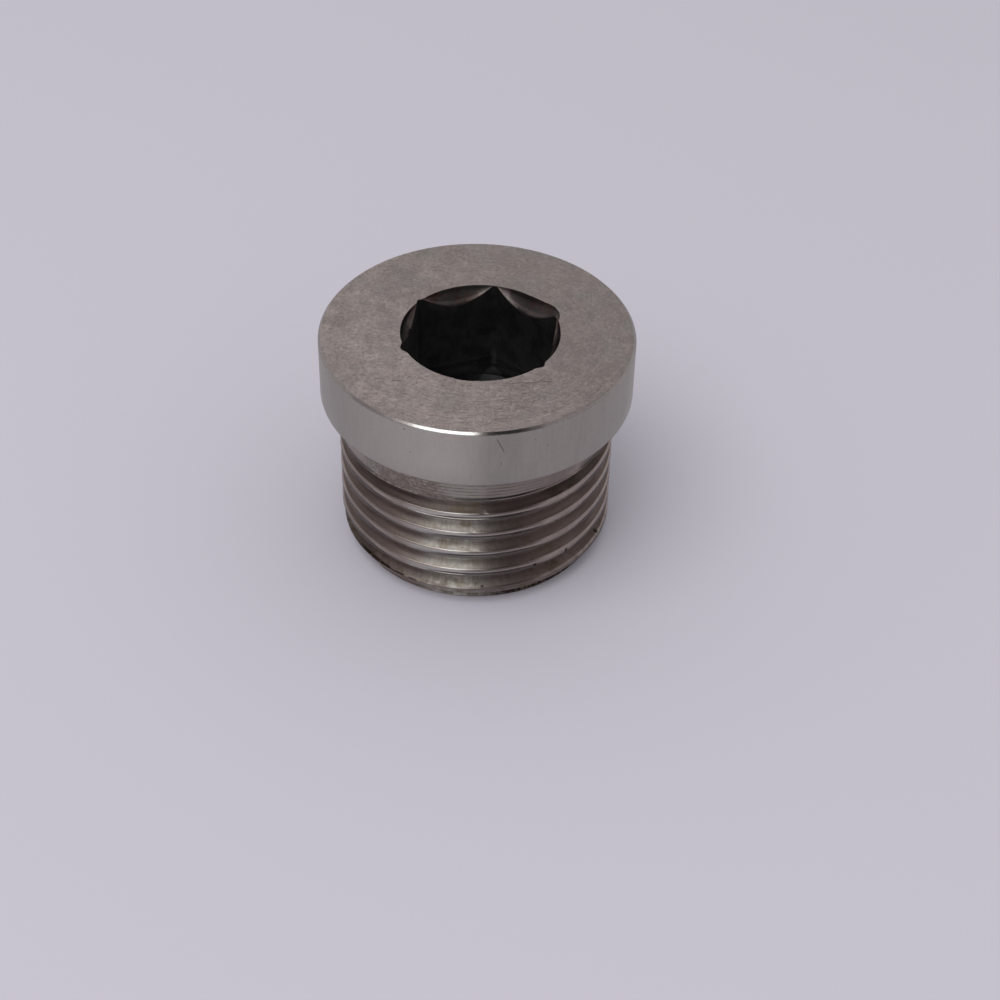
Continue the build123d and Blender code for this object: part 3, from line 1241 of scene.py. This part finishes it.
def paint_mouth(spot, finish):
    """The countersunk mouth of the socket: painted shade under the rim, torn and stained by the
    broach, a small painted highlight beside one corner, and fading into the dark of the socket
    below."""
    steel = finish.steel
    down = result(spot.point.tree, "Attribute", output="Fac", attribute_name="down_mouth")
    patch = cloud(spot, 1.1, 0.35, 0.65, 1.0)
    tears = lines(spot, spot.height, 6.0, 9.0)
    colour = painted(
        steel,
        (patch, 0.11, 0.22),
        (ramp(tears, 0.4, 0.7), 0.4, 0.34),
        # Painted shade under the rim.
        (fall(down, 0.2, 0.5), 0.4, GREEN_SHADE),
        (towards(spot, 113, 32, 24), 0.5, DEEP_GREEN_SHADE),
        (towards(spot, -12, 26, 16), 0.5, 0.1),
        (towards(spot, 40, 20, 12), 0.6, 0.13),
        (towards(spot, 72, 20, 13), 0.5, 0.06),
        # A small painted highlight beside the corner of the hexagon.
        (towards(spot, 82, 6, 3), 0.5, 0.5),
        (cloud(spot, 0.9, 0.46, 0.6, 3.0), 0.45, RED_STAIN),
        (band(down, 0.66, 0.96, 0.1), 0.35, 0.4),
        (ramp(down, 0.88, 1.0), 0.85, 0.04),
    )
    return colour, ramp(patch, 0.0, 1.0, 0.45, 0.3), tears, 0.006


def paint_socket(spot, finish):
    """The socket's walls and floor: dark broached steel with upright tool marks, in tones that
    change with depth. A dim wedge of painted light lies below one corner of the hexagon, down
    the drilled hole."""
    dark = finish.socket
    patch = cloud(spot, 0.8, 0.35, 0.65)
    upright = lines(spot, spot.height, 0.4, 40.0, 5.0)
    deep = band(spot.height, PILOT_FLOOR + 0.1, SOCKET_FLOOR - 0.1, 0.4)
    cone = fall(spot.height, PILOT_FLOOR + 0.005, PILOT_FLOOR + 0.015)
    # The dim wedge of painted light below one corner.
    off = vectors("DOT_PRODUCT", spot.direction, WEDGE_WAY).math("ARCCOSINE")
    wedge = ramp((WEDGE_TOP - spot.height) * WEDGE_SPREAD - off, -0.02, 0.06)
    light = painted(dark, (deep, 2.6, 6.0), (cone, 1.0, WEDGE_GREY))
    colour = painted(
        dark,
        (patch, 0.9, 1.1),
        (ramp(upright, 0.45, 0.7), 0.2, 1.8),
        (fall(spot.height, SOCKET_FLOOR, SOCKET_FLOOR + 5.0), 0.6, 2.6),
        (fall(spot.height, SOCKET_FLOOR - 0.02, SOCKET_FLOOR - 0.01), 1.0, 1.5),
        (deep, 1.0, 2.3),
        (band(spot.height, SOCKET_FLOOR - 0.006, SOCKET_FLOOR + 0.006, 0.003), 0.95, LEDGE_GREY),
        (cone, 1.0, CONE_GREY),
    )
    return blend(wedge, colour, light), ramp(patch, 0.0, 1.0, 0.5, 0.4), upright, 0.01


def paint_end(spot, finish):
    """The thread end that the plug stands on: faced, then scuffed by the bench."""
    steel = finish.steel
    rings = lines(spot, spot.radius, 6.0, 4.0)
    patch = cloud(spot, 0.6, 0.35, 0.65, 5.0)
    colour = painted(
        steel,
        (patch, 0.6, 0.85),
        (ramp(rings, 0.4, 0.7), 0.3, 1.1),
        (hairs(spot, 40, 3.0, 9.0, 0.5, 2.0), 0.5, 1.2),
        (cloud(spot, 0.9, 0.55, 0.7, 9.0), 0.6, OLD_RUST),
    )
    return colour, ramp(rings, 0.2, 0.8, 0.38, 0.5), rings, 0.006


# One material for each finish of the skin, in the order of FINISHES: its name and its grain.
METALS = (
    ("thread_end", 0.3, paint_end),
    ("cut_thread", 0.75, paint_thread),
    ("turned_collar", 0.82, paint_collar),
    ("turned_head", 0.25, paint_head),
    ("socket_mouth", 0.0, paint_mouth),
    ("dark_socket", 0.0, paint_socket),
)


# ---------------------------------------------------------------- pieces


def new_object(scene, name, data):
    """A new object in the scene."""
    obj = bpy.data.objects.new(name, data)
    scene.collection.objects.link(obj)
    return obj


class PLUG_OT_body(bpy.types.Operator):
    """Builds the plug's body with its thread, collar and socket, and its finishes"""

    bl_idname = "plug.body"
    bl_label = "Plug Body"

    def execute(self, context):
        mesh = skin_mesh("plug", context.scene.plug_sizes)
        for name, grain, paint in METALS:
            mesh.materials.append(metal(name, grain, paint, context.scene.plug_finish))
        plug = new_object(context.scene, "plug", mesh)
        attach(plug, "root")
        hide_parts(NODE)
        return {"FINISHED"}


# The studio, in metres. The lamp's strength is in watts a square metre.
FLOOR_SIZE = 6.0
LAMP_HEIGHT = 0.55
LAMP_STRENGTH = 2.66 * math.pi
EYE = (0.022807, -0.114140, 0.103608)
EYE_TARGET = (0.003370, -0.007846, 0.00875)
EYE_ROLL = math.radians(1.285)

# What the metal shows of the room: its walls in front and behind, its ceiling, and the dark
# beside the soft box. The last is the light that the floor and everything rough get.
WALL_BEHIND, WALL_IN_FRONT = (0.62, 0.60, 0.62), (0.46, 0.44, 0.47)
CEILING = (0.42, 0.40, 0.40)
DARK = (0.04, 0.04, 0.04)
EVEN_LIGHT = (0.74, 0.74, 0.74)


def seen_from_camera(nearer, right, up):
    """A point given by its distances towards the camera, to the right and up, in metres."""
    cos, sin = math.cos(CAMERA_AZIMUTH), math.sin(CAMERA_AZIMUTH)
    return Vector((nearer * cos - right * sin, nearer * sin + right * cos, up))


class PLUG_OT_stage(bpy.types.Operator):
    """Sets the pale floor, the soft box overhead, the room around it and the camera"""

    bl_idname = "plug.stage"
    bl_label = "Stage"

    def execute(self, context):
        scene, pale = context.scene, tuple(context.scene.plug_finish.floor)
        self.floor(scene, pale)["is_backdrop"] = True
        self.soft_box(scene)
        self.room(scene, pale)
        self.camera(scene)
        scene.view_settings.view_transform = "Standard"
        return {"FINISHED"}

    def floor(self, scene, pale):
        """One square of floor, centred under the plug."""
        half = FLOOR_SIZE / 2
        mesh = bpy.data.meshes.new("floor")
        corners = [(-half, -half, 0), (half, -half, 0), (half, half, 0), (-half, half, 0)]
        mesh.from_pydata(corners, [], [(0, 1, 2, 3)])
        material = bpy.data.materials.new("pale_floor")
        material.use_nodes = True
        inputs = material.node_tree.nodes["Principled BSDF"].inputs
        for name, value in (("Base Color", pale), ("Roughness", 0.9), ("Specular IOR Level", 0.1)):
            fill(inputs[name], value)
        mesh.materials.append(material)
        return new_object(scene, "floor", mesh)

    def soft_box(self, scene):
        """A flat lamp overhead, towards the camera and to the left of the plug."""
        lamp = bpy.data.lights.new("soft_box", "AREA")
        lamp.shape = "RECTANGLE"
        lamp.size, lamp.size_y = 1.1 * LAMP_HEIGHT, 0.744 * LAMP_HEIGHT
        lamp.energy = LAMP_STRENGTH * lamp.size * lamp.size_y
        box = new_object(scene, "soft_box", lamp)
        box.location = seen_from_camera(0.55 * LAMP_HEIGHT, -0.354 * LAMP_HEIGHT, LAMP_HEIGHT)
        box.rotation_euler = (0.0, 0.0, CAMERA_AZIMUTH + math.radians(6.4))

    def camera(self, scene):
        """The camera, turned to look at its target and rolled about its line of sight."""
        camera = bpy.data.cameras.new("camera")
        camera.lens, camera.sensor_width = 72.0, 36.0
        camera.clip_start, camera.clip_end = 0.005, 20.0
        eye = new_object(scene, "camera", camera)
        eye.location = EYE
        way = Vector(EYE_TARGET) - eye.location
        eye.rotation_mode = "QUATERNION"
        roll = Quaternion((0.0, 0.0, 1.0), EYE_ROLL)
        eye.rotation_quaternion = way.to_track_quat("-Z", "Y") @ roll
        scene.camera = eye

    def room(self, scene, pale):
        """The room around the plug: an even light for the floor, and what the metal shows of
        it. That is pale all round, dim overhead, and dark beside the soft box.

        A direction is told by where it meets a ceiling one metre up: how far towards the
        camera, and how far to the right."""
        world = bpy.data.worlds.new("room")
        scene.world = world
        world.use_nodes = True
        tree = world.node_tree
        tree.nodes.clear()
        way = result(tree, "TexCoord", output="Generated")
        x, y, z = parted(turned(way, -CAMERA_AZIMUTH))
        rise = z.math("MAXIMUM", 0.02)
        nearer, right = x / rise, y / rise
        near = ramp(right - nearer * 0.113, 0.0, 0.05)
        far = fall(right - nearer * 0.66, 0.12, 0.20)
        dark = near * far * (ramp(nearer, -0.2, 0.0) * fall(nearer, 1.3, 1.9))
        colour = blend(fall(x, -0.75, 0.1), WALL_IN_FRONT, WALL_BEHIND)
        colour = blend(ramp(z, 0.72, 0.93), colour, CEILING)
        colour = blend(dark * 0.9, colour, DARK)
        colour = blend(ramp(z, 0.0, 0.12), pale, colour)

        rays = place(tree, "LightPath")
        kinds = ("Is Camera Ray", "Is Glossy Ray", "Is Transmission Ray")
        seen = highest(*(Field(rays, kind) for kind in kinds))
        colour = blend(seen, EVEN_LIGHT, colour)
        glow = result(tree, "Background", {"Color": colour, "Strength": 1.0})
        place(tree, "OutputWorld", {0: glow})


class PLUG_PT_panel(bpy.types.Panel):
    """Lists the plug's pieces, sizes and finishes in the sidebar"""

    bl_idname = "PLUG_PT_panel"
    bl_label = "Hex Socket Plug"
    bl_space_type = "VIEW_3D"
    bl_region_type = "UI"
    bl_category = "Plug"

    def draw(self, context):
        layout = self.layout
        layout.operator("plug.body")
        layout.operator("plug.stage")
        for group in (context.scene.plug_sizes, context.scene.plug_finish):
            column = layout.column()
            for name in group.bl_rna.properties.keys():
                if name not in ("rna_type", "name"):
                    column.prop(group, name)


CLASSES = (PlugSizes, PlugFinish, PLUG_OT_body, PLUG_OT_stage, PLUG_PT_panel)


def register():
    for cls in CLASSES:
        bpy.utils.register_class(cls)
    bpy.types.Scene.plug_sizes = PointerProperty(type=PlugSizes)
    bpy.types.Scene.plug_finish = PointerProperty(type=PlugFinish)


def unregister():
    del bpy.types.Scene.plug_finish
    del bpy.types.Scene.plug_sizes
    for cls in reversed(CLASSES):
        bpy.utils.unregister_class(cls)


def main():
    """Registers the add-on and builds the pieces in order: the plug's body, then the stage."""
    register()
    bpy.ops.plug.body()
    bpy.ops.plug.stage()


if __name__ == "__main__":
    main()
